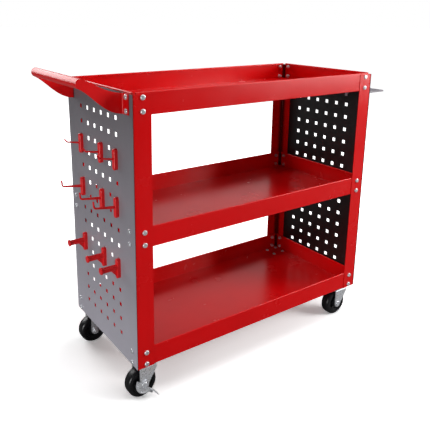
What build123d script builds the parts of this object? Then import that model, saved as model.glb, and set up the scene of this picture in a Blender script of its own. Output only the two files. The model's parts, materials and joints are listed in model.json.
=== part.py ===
from build123d import *
import math
import os

os.makedirs("parts", exist_ok=True)

# Rolling tool cart, in millimetres. +X points from the handle end to the rack end,
# the open front faces -Y, and z = 0 is the floor. The origin is the middle of the
# whole cart's outline, handle and rack included.

# Body
cart_length = 762.0        # over the two peg panels
cart_depth = 350.0         # over the faces of the posts
body_bottom = 96.0         # floor to the underside of the lowest tray
post_height = 652.0
tray_height = 50.0
tray_pitch = 303.0         # one tray floor to the next
tray_sheet = 1.0
post_sheet = 1.5
panel_sheet = 1.0

# Posts and their bolts
face_flange = 45.0         # the leg of the post on the long side
end_flange = 35.0          # the leg of the post on the short side
bend_radius = 2.0
face_bolt_inset = 25.0     # from the end of the cart
end_bolt_inset = 24.0      # from the front or rear of the cart
bolt_rises = (9.0, 39.0)   # above each tray's underside

# Tray rim
hem_width = 4.5
hem_drop = 5.0
corner_relief = 8.0

# Peg panels
hole_pitch = 38.0
hole_side = 10.0
hole_columns = 6
hole_rows = 15
top_row = 592.0            # the highest row of holes, above the foot of the posts

# Handle
grip_reach = 95.0          # the panel's face to the grip's axis
grip_rise = 676.0          # the foot of the posts to the grip's axis
grip_diameter = 22.0
grip_wall = 1.5
bracket_sheet = 2.0
bracket_inset = 40.0       # front or rear of the cart to the bracket's outer face
bracket_low = 607.0
bracket_high = 652.0
tab_width = 28.0

# Tool rack
rack_reach = 102.0
rack_width = 290.0
rack_sheet = 1.5
rack_rise = 596.0
rack_lip = 5.0
rack_back = 22.0
rack_hole_count = 6
rack_hole_pitch = 44.0
wide_hole = 16.0
narrow_hole = 9.0
wide_row_share = 0.36      # of the reach, from the panel to the row of wide holes
narrow_row_share = 0.76
rack_tab_side = 8.0
rack_tab_throw = 3.6       # the panel's outer face to the inner side of the hooked tab
rack_tab_fall = 11.0
rack_tab_columns = (-2.5, -0.5, 0.5, 2.5)    # in hole pitches from the middle

# Hooks: each pad spans two rows of holes, and its lugs enter them
pad_height = 50.0
pad_width = 13.0
pad_depth = 9.0
pad_edge = 2.0
lug_side = 9.0
lug_length = 4.0
hook_columns = {"front": 0, "middle": 2, "rear": 5}
short_hook = {"row": 2, "reach": 42.0, "rise": 6.0, "root": 5.0, "end": 4.0, "tip": 8.5, "lean": 0.75}
long_hook = {"row": 5, "reach": 66.0, "rise": 8.0, "root": 8.0, "end": 4.6, "tip": 16.0, "lean": 0.3}
arm_lift = 1.0             # the pad's middle to the root of the arm
tip_taper = 0.45           # the tip's radius as a share of the arm's end diameter
peg_row = 9
peg_reach = 50.0
peg_radius = 7.0
peg_flute_radius = 1.2
peg_flute_count = 8
peg_cap_radius = 8.7
peg_cap_depth = 4.0
peg_lift = 4.0
peg_web = 5.0

# M6 fasteners
bolt_diameter = 6.0
bolt_length = 12.0
bolt_head_diameter = 12.0
bolt_head_height = 3.4
bolt_hole = 6.6
bolt_cross_length = 5.5
bolt_cross_width = 1.2
bolt_cross_depth = 1.8
nut_across_flats = 10.0
nut_height = 5.0

# Casters
caster_inset_x = 37.0
caster_inset_y = 35.0
caster_trail = 12.0        # the wheel's axle behind the swivel axis
wheel_diameter = 77.0
wheel_width = 28.0
shoulder_radius = 7.0
plate_length = 56.0
plate_width = 52.0
plate_sheet = 3.0
plate_bolt_x = 40.0
plate_bolt_y = 36.0
fork_sheet = 2.5
fork_gap = 37.0            # between the inner faces of the cheeks
fork_top_length = 46.0
fork_top = 83.0
fork_eye_radius = 11.0
axle_diameter = 8.0
running_gap = 0.06
ball_circle = 28.0
ball_diameter = 4.8
ball_count = 14
ball_drop = 1.7            # the balls sit this much below the middle of the gap over the fork
race_gap = 0.3
race_diameter = 40.0
race_split = 1.2           # the balls' level to the edge of each race
kingpin_diameter = 10.0
kingpin_head_height = 2.0
shank_gap = 0.2            # around shanks in their holes
hub_radius = 26.0
hub_rim = 4.0
hub_rim_half = 11.0
hub_web_half = 4.0
hub_boss_half = 16.0
hub_boss_radius = 11.0
axle_head_radius = 7.5
axle_head_height = 2.6
axle_slot_width = 1.6
axle_slot_depth = 1.2
axle_nut_across = 13.0
axle_nut_height = 6.0

# Brake lever: a half disc on the axle, with a tail that ends in a pedal turned outward
lever_sheet = 2.0
lever_radius = 27.5
lever_offset = 4.0         # the disc's middle, past the axle and above it
lever_boss_radius = 12.0
lever_fall = 42.0          # degrees below level
tail_width = 9.0
tail_reach = 35.0
pedal_sheet = 2.0
pedal_turn = 18.0          # how far the pedal stands out from the lever
pedal_root = (22.0, 35.0)  # along the tail, from the axle
pedal_tip = (33.0, 41.0)
brake_ring_radius = 15.0
brake_ring_sheet = 2.0

# Worked out from the values above
handle_reach = grip_reach + grip_diameter / 2
body_x = (handle_reach - rack_reach) / 2
left_face = body_x - cart_length / 2
right_face = body_x + cart_length / 2
tray_length = cart_length - 2 * (panel_sheet + post_sheet)
tray_width = cart_depth - 2 * post_sheet
tray_bottoms = [body_bottom + level * tray_pitch for level in range(3)]
axle_height = wheel_diameter / 2
fork_half = fork_gap / 2
fork_outer = fork_half + fork_sheet
sides = {"left": -1, "right": 1}
faces = {"front": -1, "rear": 1}


def save(part, name):
    part.label = name
    export_step(part, f"parts/{name}.step")


def bolt_heights():
    return [bottom + rise for bottom in tray_bottoms for rise in bolt_rises]


def face_bolt_points(heights):
    # X and Z of the bolts through the front and rear of the cart
    reach = cart_length / 2 - face_bolt_inset
    return [(body_x + side * reach, z) for side in (-1, 1) for z in heights]


def end_bolt_points(heights):
    # Y and Z of the bolts through the ends of the cart
    reach = cart_depth / 2 - end_bolt_inset
    return [(face * reach, z) for face in (-1, 1) for z in heights]


def caster_centre(side, face):
    x = body_x + side * (cart_length / 2 - caster_inset_x)
    y = face * (cart_depth / 2 - caster_inset_y)
    return x, y


def caster_bolt_points():
    points = []
    for side in (-1, 1):
        for face in (-1, 1):
            x, y = caster_centre(side, face)
            for dx in (-plate_bolt_x / 2, plate_bolt_x / 2):
                for dy in (-plate_bolt_y / 2, plate_bolt_y / 2):
                    points.append((x + dx, y + dy))
    return points


# XZ points away from -Y, so that sketches on it have X and Z as their own axes
def facing_front(y):
    return Plane(origin=(0, y, 0), x_dir=(1, 0, 0), z_dir=(0, -1, 0))


# YZ, with Y and Z as the sketch's own axes
def facing_end(x):
    return Plane(origin=(x, 0, 0), x_dir=(0, 1, 0), z_dir=(1, 0, 0))


# ---- trays ----
def make_tray(bottom, floor_holes):
    hem_level = bottom + tray_height - tray_sheet
    wall_heights = [bottom + rise for rise in bolt_rises]
    with BuildPart() as tray:
        with BuildSketch(Plane.XY.offset(bottom)):
            with Locations((body_x, 0)):
                Rectangle(tray_length, tray_width)
        extrude(amount=tray_height)
        rim = tray.faces().sort_by(Axis.Z)[-1]
        offset(amount=-tray_sheet, openings=rim)
        # The rim is folded inward, then down
        with BuildSketch(Plane.XY.offset(hem_level)):
            with Locations((body_x, 0)):
                Rectangle(tray_length, tray_width)
                Rectangle(tray_length - 2 * hem_width, tray_width - 2 * hem_width, mode=Mode.SUBTRACT)
        extrude(amount=tray_sheet)
        lip = hem_width - tray_sheet
        with BuildSketch(Plane.XY.offset(bottom + tray_height)):
            with Locations((body_x, 0)):
                Rectangle(tray_length - 2 * lip, tray_width - 2 * lip)
                Rectangle(tray_length - 2 * hem_width, tray_width - 2 * hem_width, mode=Mode.SUBTRACT)
        extrude(amount=-hem_drop)
        # The four corners are left open above the floor
        with BuildSketch(Plane.XY.offset(bottom + 2 * tray_sheet)):
            with Locations((body_x, 0)):
                with GridLocations(tray_length, tray_width, 2, 2):
                    Rectangle(2 * corner_relief, 2 * corner_relief)
        extrude(amount=tray_height, mode=Mode.SUBTRACT)
        with BuildSketch(facing_front(0)):
            with Locations(*face_bolt_points(wall_heights)):
                Circle(bolt_hole / 2)
        extrude(amount=cart_depth, both=True, mode=Mode.SUBTRACT)
        with BuildSketch(facing_end(body_x)):
            with Locations(*end_bolt_points(wall_heights)):
                Circle(bolt_hole / 2)
        extrude(amount=cart_length, both=True, mode=Mode.SUBTRACT)
        if floor_holes:
            with BuildSketch(Plane.XY.offset(bottom)):
                with Locations(*floor_holes):
                    Circle(bolt_hole / 2)
            extrude(amount=tray_sheet, mode=Mode.SUBTRACT)
    return tray.part


save(make_tray(tray_bottoms[2], []), "top_tray")
save(make_tray(tray_bottoms[1], []), "middle_tray")
save(make_tray(tray_bottoms[0], caster_bolt_points()), "bottom_tray")


# ---- posts ----
def make_post(side, face):
    corner_x = body_x + side * (cart_length / 2 - panel_sheet)
    corner_y = face * cart_depth / 2
    inner_x = corner_x - side * post_sheet
    inner_y = corner_y - face * post_sheet
    heights = bolt_heights()
    with BuildPart() as post:
        with BuildSketch(Plane.XY.offset(body_bottom)):
            with BuildLine():
                Polyline(
                    (corner_x, corner_y),
                    (corner_x - side * face_flange, corner_y),
                    (corner_x - side * face_flange, inner_y),
                    (inner_x, inner_y),
                    (inner_x, corner_y - face * end_flange),
                    (corner_x, corner_y - face * end_flange),
                    close=True,
                )
            make_face()
        extrude(amount=post_height)
        uprights = post.edges().filter_by(Axis.Z)
        fillet(uprights.sort_by_distance((corner_x, corner_y, body_bottom))[0], bend_radius)
        with BuildSketch(facing_front(0)):
            with Locations(*face_bolt_points(heights)):
                Circle(bolt_hole / 2)
        extrude(amount=cart_depth, both=True, mode=Mode.SUBTRACT)
        with BuildSketch(facing_end(body_x)):
            with Locations(*end_bolt_points(heights)):
                Circle(bolt_hole / 2)
        extrude(amount=cart_length, both=True, mode=Mode.SUBTRACT)
    return post.part


for side_name, side in sides.items():
    for face_name, face in faces.items():
        save(make_post(side, face), f"post_{face_name}_{side_name}")


# ---- peg panels ----
def make_panel(side):
    outer = body_x + side * cart_length / 2
    grid_middle = body_bottom + top_row - (hole_rows - 1) * hole_pitch / 2
    with BuildPart() as panel:
        with BuildSketch(facing_end(outer)):
            with Locations((0, body_bottom + post_height / 2)):
                Rectangle(cart_depth, post_height)
            with Locations((0, grid_middle)):
                with GridLocations(hole_pitch, hole_pitch, hole_columns, hole_rows):
                    Rectangle(hole_side, hole_side, mode=Mode.SUBTRACT)
            with Locations(*end_bolt_points(bolt_heights())):
                Circle(bolt_hole / 2, mode=Mode.SUBTRACT)
        extrude(amount=-side * panel_sheet)
    return panel.part


for side_name, side in sides.items():
    save(make_panel(side), f"peg_panel_{side_name}")

# ---- handle ----
grip_x = left_face - grip_reach
grip_z = body_bottom + grip_rise
bracket_outer = cart_depth / 2 - bracket_inset
bracket_inner = bracket_outer - bracket_sheet
bracket_bottom = body_bottom + bracket_low
bracket_top = body_bottom + bracket_high

with BuildPart() as grip:
    with BuildSketch(facing_front(0)):
        with Locations((grip_x, grip_z)):
            Circle(grip_diameter / 2)
            Circle(grip_diameter / 2 - grip_wall, mode=Mode.SUBTRACT)
    extrude(amount=bracket_inner, both=True)
save(grip.part, "handle_grip")


def make_bracket(face):
    radius = grip_diameter / 2
    lean = math.radians(25)
    rim_top = (grip_x + radius * math.sin(lean), grip_z + radius * math.cos(lean))
    rim_back = (grip_x - radius, grip_z)
    rim_low = (grip_x - radius * math.sin(lean), grip_z - radius * math.cos(lean))
    slope_down = (math.cos(lean), -math.sin(lean))
    with BuildPart() as bracket:
        with BuildSketch(facing_front(face * bracket_outer)):
            with BuildLine():
                Spline(rim_top, (left_face, bracket_top), tangents=(slope_down, (1, 0)))
                Line((left_face, bracket_top), (left_face, bracket_bottom))
                Spline(
                    (left_face, bracket_bottom),
                    rim_low,
                    tangents=((-1, 0), (-math.cos(lean), math.sin(lean))),
                    tangent_scalars=(1.4, 1.0),
                )
                ThreePointArc(rim_low, rim_back, rim_top)
            make_face()
        extrude(amount=face * bracket_sheet)
        # The tab turns outward and lies on the peg panel
        tab_middle = face * (bracket_inner + tab_width / 2)
        with BuildSketch(facing_end(left_face)):
            with Locations((tab_middle, (bracket_top + bracket_bottom) / 2)):
                Rectangle(tab_width, bracket_top - bracket_bottom)
            with Locations(*end_bolt_points([tray_bottoms[2] + rise for rise in bolt_rises])):
                Circle(bolt_hole / 2, mode=Mode.SUBTRACT)
        extrude(amount=-bracket_sheet)
    return bracket.part


for face_name, face in faces.items():
    save(make_bracket(face), f"handle_bracket_{face_name}")

# ---- tool rack ----
rack_top = body_bottom + rack_rise
wide_row = right_face + wide_row_share * rack_reach
narrow_row = right_face + narrow_row_share * rack_reach
tab_level = body_bottom + top_row - rack_sheet
tab_places = [(column * hole_pitch, 0) for column in rack_tab_columns]

with BuildPart() as rack:
    with BuildSketch(Plane.XY.offset(rack_top)):
        with Locations((right_face + rack_reach / 2, 0)):
            Rectangle(rack_reach, rack_width)
        with Locations((wide_row, 0)):
            with GridLocations(rack_hole_pitch, rack_hole_pitch, 1, rack_hole_count):
                Circle(wide_hole / 2, mode=Mode.SUBTRACT)
        with Locations((narrow_row, 0)):
            with GridLocations(rack_hole_pitch, rack_hole_pitch, 1, rack_hole_count):
                Circle(narrow_hole / 2, mode=Mode.SUBTRACT)
    extrude(amount=-rack_sheet)
    # Small lips run round the three free edges
    with BuildSketch(Plane.XY.offset(rack_top)):
        with Locations((right_face + rack_reach / 2, 0)):
            Rectangle(rack_reach, rack_width)
        with Locations((right_face + (rack_reach - rack_sheet) / 2, 0)):
            Rectangle(rack_reach - rack_sheet, rack_width - 2 * rack_sheet, mode=Mode.SUBTRACT)
    extrude(amount=-rack_lip)
    # The back lies flat on the panel
    with BuildSketch(facing_end(right_face)):
        with Locations((0, rack_top - rack_back / 2)):
            Rectangle(rack_width, rack_back)
    extrude(amount=rack_sheet)
    # Four hooked tabs pass through the top row of square holes
    with BuildSketch(facing_end(right_face)):
        with Locations((0, tab_level)):
            with Locations(*tab_places):
                Rectangle(rack_tab_side, rack_sheet)
    extrude(amount=-(rack_tab_throw + rack_sheet))
    with BuildSketch(facing_end(right_face - rack_tab_throw)):
        with Locations((0, tab_level + (rack_sheet - rack_tab_fall) / 2)):
            with Locations(*tab_places):
                Rectangle(rack_tab_side, rack_tab_fall)
    extrude(amount=-rack_sheet)
save(rack.part, "tool_rack")


# ---- hooks on the handle-end panel ----
def hook_place(row, column):
    # Y and Z of the middle of a pad that spans the hole rows "row" and "row + 1"
    y = (column - (hole_columns - 1) / 2) * hole_pitch
    z = body_bottom + top_row - (row + 0.5) * hole_pitch
    return y, z


def make_hook_pad(y, z):
    with BuildPart() as pad:
        with BuildSketch(facing_end(left_face)):
            with Locations((y, z)):
                SlotOverall(pad_height, pad_width, rotation=90)
        extrude(amount=-pad_depth)
        fillet(pad.faces().sort_by(Axis.X)[0].edges(), pad_edge)
        with BuildSketch(facing_end(left_face)):
            with Locations((y, z)):
                with GridLocations(hole_pitch, hole_pitch, 1, 2):
                    Rectangle(lug_side, lug_side)
        extrude(amount=lug_length)
    return pad.part


def make_rod_hook(size, column):
    # A round arm that tapers from root to end, with a short upturned tip
    y, z = hook_place(size["row"], column)
    root_radius, end_radius = size["root"] / 2, size["end"] / 2
    tip_radius = tip_taper * size["end"]
    start = Vector(left_face - pad_depth / 2, y, z + arm_lift)
    elbow = Vector(left_face - size["reach"], y, z + arm_lift + size["rise"])
    finish = elbow + Vector(-size["lean"] * size["tip"], 0, size["tip"])
    arm, tip = elbow - start, finish - elbow
    from_base = (Align.CENTER, Align.CENTER, Align.MIN)
    with BuildPart() as hook:
        add(make_hook_pad(y, z))
        with Locations(Plane(origin=start, z_dir=arm)):
            Cone(root_radius, end_radius, arm.length, align=from_base)
        with Locations(Plane(origin=elbow, z_dir=tip)):
            Cone(end_radius, tip_radius, tip.length, align=from_base)
        with Locations(elbow):
            Sphere(end_radius)
        with Locations(finish):
            Sphere(tip_radius)
    return hook.part


def make_peg_hook(column):
    # A thick fluted peg with a web under its root
    y, z = hook_place(peg_row, column)
    start = left_face - pad_depth / 2
    with BuildPart() as hook:
        add(make_hook_pad(y, z))
        with BuildSketch(facing_end(start)):
            with Locations((y, z + peg_lift)):
                Circle(peg_radius)
                with PolarLocations(peg_radius, peg_flute_count):
                    Circle(peg_flute_radius)
        extrude(amount=-(peg_reach - pad_depth / 2))
        with BuildSketch(facing_end(left_face - peg_reach)):
            with Locations((y, z + peg_lift)):
                Circle(peg_cap_radius)
        extrude(amount=peg_cap_depth)
        fillet(hook.faces().sort_by(Axis.X)[0].edges(), 0.4 * peg_cap_depth)
        with BuildSketch(facing_front(y)):
            with BuildLine():
                Polyline(
                    (start, z - peg_lift),
                    (start - 0.45 * peg_reach, z),
                    (start, z - 0.4 * pad_height),
                    close=True,
                )
            make_face()
        extrude(amount=peg_web / 2, both=True)
    return hook.part


for column_name, column in hook_columns.items():
    save(make_rod_hook(short_hook, column), f"short_hook_{column_name}")
    save(make_rod_hook(long_hook, column), f"long_hook_{column_name}")
    save(make_peg_hook(column), f"thick_peg_{column_name}")

# ---- fasteners ----
with BuildPart() as bolt:
    Cylinder(bolt_head_diameter / 2, bolt_head_height, align=(Align.CENTER, Align.CENTER, Align.MIN))
    fillet(bolt.edges().sort_by(Axis.Z)[-1], 0.7 * bolt_head_height)
    with BuildSketch(Plane.XY.offset(bolt_head_height)):
        Rectangle(bolt_cross_length, bolt_cross_width)
        Rectangle(bolt_cross_width, bolt_cross_length)
    extrude(amount=-bolt_cross_depth, mode=Mode.SUBTRACT)
    with BuildSketch(Plane.XY):
        Circle(bolt_diameter / 2)
    extrude(amount=-bolt_length)

with BuildPart() as nut:
    with BuildSketch(Plane.XY):
        RegularPolygon(nut_across_flats / 2, 6, major_radius=False)
        Circle(bolt_hole / 2, mode=Mode.SUBTRACT)
    extrude(amount=-nut_height)


def fastener_planes():
    # Each entry is the bolt head's seat, facing out, and the thickness that the nut closes on
    seats = []
    two_sheets = post_sheet + tray_sheet
    three_sheets = panel_sheet + two_sheets
    for face in (-1, 1):
        for x, z in face_bolt_points(bolt_heights()):
            seat = Plane(origin=(x, face * cart_depth / 2, z), x_dir=(1, 0, 0), z_dir=(0, face, 0))
            seats.append((seat, two_sheets))
    for side in (-1, 1):
        for y, z in end_bolt_points(bolt_heights()):
            on_tab = side < 0 and z > tray_bottoms[2]
            spare = bracket_sheet if on_tab else 0
            x = body_x + side * (cart_length / 2 + spare)
            seat = Plane(origin=(x, y, z), x_dir=(0, 1, 0), z_dir=(side, 0, 0))
            seats.append((seat, three_sheets + spare))
    for x, y in caster_bolt_points():
        seat = Plane(origin=(x, y, body_bottom + tray_sheet), x_dir=(1, 0, 0), z_dir=(0, 0, 1))
        seats.append((seat, tray_sheet + plate_sheet))
    return seats


with BuildPart() as frame_bolts:
    with Locations(*[seat for seat, grip_length in fastener_planes()]):
        add(bolt.part)
save(frame_bolts.part, "frame_bolts")

with BuildPart() as frame_nuts:
    with Locations(*[seat.offset(-grip_length) for seat, grip_length in fastener_planes()]):
        add(nut.part)
save(frame_nuts.part, "frame_nuts")

# ---- casters ----
plate_low = body_bottom - plate_sheet
ball_level = (fork_top + plate_low) / 2 - ball_drop
race_radius = race_diameter / 2
race_groove = ball_diameter / 2 + race_gap
upper_race_low = ball_level + race_split
lower_race_high = ball_level - race_split
kingpin_radius = kingpin_diameter / 2
axle_radius = axle_diameter / 2


def make_plate(x, y):
    with BuildPart() as plate:
        with BuildSketch(Plane.XY.offset(plate_low)):
            with Locations((x, y)):
                RectangleRounded(plate_length, plate_width, 5)
                with GridLocations(plate_bolt_x, plate_bolt_y, 2, 2):
                    Circle(bolt_hole / 2, mode=Mode.SUBTRACT)
        extrude(amount=plate_sheet)
        with BuildSketch(Plane.XY.offset(plate_low)):
            with Locations((x, y)):
                Circle(race_radius)
        extrude(amount=-(plate_low - upper_race_low))
        with BuildSketch(Plane.XY.offset(upper_race_low)):
            with Locations((x, y)):
                Circle(kingpin_radius + shank_gap)
        extrude(amount=plate_sheet + plate_low, mode=Mode.SUBTRACT)
        with Locations((x, y, ball_level)):
            Torus(ball_circle / 2, race_groove, mode=Mode.SUBTRACT)
    return plate.part


def make_balls(x, y):
    with BuildPart() as balls:
        with Locations((x, y, ball_level)):
            with PolarLocations(ball_circle / 2, ball_count):
                Sphere(ball_diameter / 2)
    return balls.part


def make_kingpin(x, y):
    seat = fork_top - fork_sheet - running_gap
    with BuildPart() as kingpin:
        with BuildSketch(Plane.XY.offset(seat)):
            with Locations((x, y)):
                Circle(0.85 * kingpin_diameter)
        extrude(amount=-kingpin_head_height)
        fillet(kingpin.edges().sort_by(Axis.Z)[0], 0.6 * kingpin_head_height)
        with BuildSketch(Plane.XY.offset(seat)):
            with Locations((x, y)):
                Circle(kingpin_radius)
        extrude(amount=body_bottom - fork_top + fork_sheet)
    return kingpin.part


def make_fork(x, y):
    axle_x = x - caster_trail
    cheek_root = 8.0
    with BuildPart() as fork:
        with BuildSketch(Plane.XY.offset(fork_top)):
            with Locations((x, y)):
                Rectangle(fork_top_length, 2 * fork_outer)
        extrude(amount=-fork_sheet)
        for face in (-1, 1):
            with BuildSketch(facing_front(y + face * fork_outer)):
                with Locations((axle_x, axle_height)):
                    Circle(fork_eye_radius)
                with Locations((x, fork_top - cheek_root / 2)):
                    Rectangle(fork_top_length, cheek_root)
                make_hull()
                with Locations((axle_x, axle_height)):
                    Circle(axle_radius + shank_gap, mode=Mode.SUBTRACT)
            extrude(amount=face * fork_sheet)
        bends = fork.edges().filter_by(Axis.X).group_by(Axis.Z)[-1]
        fillet(bends, bend_radius)
        with BuildSketch(Plane.XY.offset(fork_top)):
            with Locations((x, y)):
                Circle(race_radius)
        extrude(amount=lower_race_high - fork_top)
        with BuildSketch(Plane.XY.offset(fork_top - fork_sheet)):
            with Locations((x, y)):
                Circle(kingpin_radius + running_gap)
        extrude(amount=body_bottom, mode=Mode.SUBTRACT)
        with Locations((x, y, ball_level)):
            Torus(ball_circle / 2, race_groove, mode=Mode.SUBTRACT)
    return fork.part


# A ring about the wheel's axle, drawn as radius against distance from the wheel's middle plane
def ring_about_axle(x, y, outline):
    plane = Plane(origin=(x, y, axle_height), x_dir=(0, 0, 1), z_dir=(1, 0, 0))
    with BuildPart() as ring:
        with BuildSketch(plane):
            with BuildLine():
                Polyline(*outline, close=True)
            make_face()
        revolve(axis=Axis((x, y, axle_height), (0, 1, 0)))
    return ring.part


def make_tyre(x, y):
    half = wheel_width / 2
    bore = hub_radius + 0.1
    with BuildPart() as tyre:
        add(ring_about_axle(x, y, [
            (bore, -half),
            (wheel_diameter / 2, -half),
            (wheel_diameter / 2, half),
            (bore, half),
        ]))
        rims = tyre.edges().filter_by(GeomType.CIRCLE).group_by(lambda edge: edge.radius)[-1]
        fillet(rims, shoulder_radius)
    return tyre.part


def make_hub(x, y):
    rim = hub_radius - hub_rim
    return ring_about_axle(x, y, [
        (axle_radius + running_gap, -hub_boss_half),
        (hub_boss_radius, -hub_boss_half),
        (hub_boss_radius + 1, -hub_web_half),
        (rim, -hub_web_half),
        (rim, -hub_rim_half),
        (hub_radius, -hub_rim_half),
        (hub_radius, hub_rim_half),
        (rim, hub_rim_half),
        (rim, hub_web_half),
        (hub_boss_radius + 1, hub_web_half),
        (hub_boss_radius, hub_boss_half),
        (axle_radius + running_gap, hub_boss_half),
    ])


def lever_room(braked):
    # The brake lever turns on the axle between the outer cheek and the bolt's head
    return lever_sheet + 2 * shank_gap if braked else 0


def make_axle_bolt(x, y, face, braked):
    seat = fork_outer + lever_room(braked)
    shank = seat + fork_outer + axle_nut_height + 2
    head_seat = Plane(origin=(x, y + face * seat, axle_height), x_dir=(1, 0, 0), z_dir=(0, face, 0))
    with BuildPart() as axle:
        with BuildSketch(head_seat):
            Circle(axle_head_radius)
        extrude(amount=axle_head_height)
        fillet(axle.edges().sort_by(Axis.Y)[-1 if face > 0 else 0], axle_slot_depth)
        with BuildSketch(head_seat.offset(axle_head_height)):
            Rectangle(2 * axle_head_radius, axle_slot_width, rotation=25)
        extrude(amount=-axle_slot_depth, mode=Mode.SUBTRACT)
        with BuildSketch(head_seat):
            Circle(axle_radius)
        extrude(amount=-shank)
    return axle.part


def make_axle_nut(x, y, face):
    seat = Plane(origin=(x, y - face * fork_outer, axle_height), x_dir=(1, 0, 0), z_dir=(0, -face, 0))
    with BuildPart() as axle_nut:
        with BuildSketch(seat):
            RegularPolygon(axle_nut_across / 2, 6, major_radius=False)
            Circle(axle_radius + shank_gap, mode=Mode.SUBTRACT)
        extrude(amount=axle_nut_height)
    return axle_nut.part


def make_brake_lever(x, y, face):
    fall = math.radians(lever_fall)
    near = y + face * (fork_outer + shank_gap)
    along = (math.cos(fall), 0, -math.sin(fall))
    upward = (face * math.sin(fall), 0, face * math.cos(fall))
    pedal_plane = Plane(origin=(x, near, axle_height), x_dir=along, z_dir=upward)
    with BuildPart() as lever:
        with BuildSketch(facing_front(near)):
            with Locations((x + lever_offset, axle_height + lever_offset)):
                Circle(lever_radius)
            with Locations(Location((x, axle_height, 0), (0, 0, -lever_fall))):
                with Locations((0, 2 * lever_radius)):
                    Rectangle(4 * lever_radius, 4 * lever_radius, mode=Mode.SUBTRACT)
                with Locations((tail_reach / 2, -tail_width / 2)):
                    Rectangle(tail_reach, tail_width)
            with Locations((x, axle_height)):
                Circle(lever_boss_radius)
                Circle(axle_radius + running_gap, mode=Mode.SUBTRACT)
        extrude(amount=-face * lever_sheet)
        with BuildSketch(pedal_plane):
            with BuildLine():
                Polyline(
                    (pedal_root[0], 0),
                    (pedal_root[1], 0),
                    (pedal_tip[1], pedal_turn),
                    (pedal_tip[0], pedal_turn),
                    close=True,
                )
            make_face()
        extrude(amount=-face * pedal_sheet)
    return lever.part


def make_brake_pad(x, y, face):
    inner = y + face * (hub_boss_half + shank_gap)
    with BuildPart() as pad:
        with BuildSketch(Plane(origin=(x, inner, axle_height), x_dir=(1, 0, 0), z_dir=(0, face, 0))):
            Circle(brake_ring_radius)
            Circle(axle_radius + shank_gap, mode=Mode.SUBTRACT)
        extrude(amount=brake_ring_sheet)
    return pad.part


for side_name, side in sides.items():
    for face_name, face in faces.items():
        corner = f"{face_name}_{side_name}"
        swivel_x, swivel_y = caster_centre(side, face)
        axle_x = swivel_x - caster_trail
        braked = side_name == "left"
        save(make_plate(swivel_x, swivel_y), f"caster_plate_{corner}")
        save(make_balls(swivel_x, swivel_y), f"bearing_balls_{corner}")
        save(make_kingpin(swivel_x, swivel_y), f"kingpin_{corner}")
        save(make_fork(swivel_x, swivel_y), f"fork_{corner}")
        save(make_tyre(axle_x, swivel_y), f"tyre_{corner}")
        save(make_hub(axle_x, swivel_y), f"wheel_hub_{corner}")
        save(make_axle_bolt(axle_x, swivel_y, face, braked), f"axle_bolt_{corner}")
        save(make_axle_nut(axle_x, swivel_y, face), f"axle_nut_{corner}")
        if braked:
            save(make_brake_lever(axle_x, swivel_y, face), f"brake_lever_{corner}")
            save(make_brake_pad(axle_x, swivel_y, face), f"brake_pad_{corner}")
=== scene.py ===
import json
import math
import bmesh
import bpy
from mathutils import Matrix, Vector


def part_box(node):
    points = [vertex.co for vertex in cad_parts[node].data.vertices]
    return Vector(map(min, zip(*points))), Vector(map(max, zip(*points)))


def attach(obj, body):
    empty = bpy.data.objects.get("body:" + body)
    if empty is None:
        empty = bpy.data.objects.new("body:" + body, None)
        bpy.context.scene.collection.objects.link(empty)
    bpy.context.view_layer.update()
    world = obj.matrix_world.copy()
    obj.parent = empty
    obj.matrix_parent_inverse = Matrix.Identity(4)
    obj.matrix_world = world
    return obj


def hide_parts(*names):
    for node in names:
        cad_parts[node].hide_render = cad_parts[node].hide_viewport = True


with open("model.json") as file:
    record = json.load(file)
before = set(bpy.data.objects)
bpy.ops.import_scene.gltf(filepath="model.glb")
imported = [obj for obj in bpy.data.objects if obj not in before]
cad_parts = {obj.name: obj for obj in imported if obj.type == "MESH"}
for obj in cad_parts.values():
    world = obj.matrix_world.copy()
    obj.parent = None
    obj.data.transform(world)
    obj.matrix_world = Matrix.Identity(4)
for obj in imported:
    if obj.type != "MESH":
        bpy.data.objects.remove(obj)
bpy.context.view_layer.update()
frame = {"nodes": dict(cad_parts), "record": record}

nodes = frame["nodes"]
bpy.ops.object.select_all(action="DESELECT")

# ---- camera and studio ----
cameraSetup = {
    "place": (-0.9061, -1.1641, 0.9143),
    "azimuth": 34.2,         # degrees from +Y towards +X
    "down": 14.22,
    "roll": 0.34,
    "lens": 45.63,
    "shift": (0.058, -0.151),
}


def addCamera(setup):
    azimuth, down = math.radians(setup["azimuth"]), math.radians(setup["down"])
    level = math.cos(down)
    forward = Vector((math.sin(azimuth) * level, math.cos(azimuth) * level, -math.sin(down)))
    turn = forward.to_track_quat("-Z", "Y").to_matrix() @ Matrix.Rotation(math.radians(setup["roll"]), 3, "Z")
    bpy.ops.object.camera_add(location=setup["place"], rotation=turn.to_euler())
    camera = bpy.context.object
    camera.name = "photoCamera"
    camera.data.sensor_width = 36
    camera.data.lens = setup["lens"]
    camera.data.shift_x, camera.data.shift_y = setup["shift"]
    camera.data.clip_start = 0.05
    bpy.context.scene.camera = camera


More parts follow.
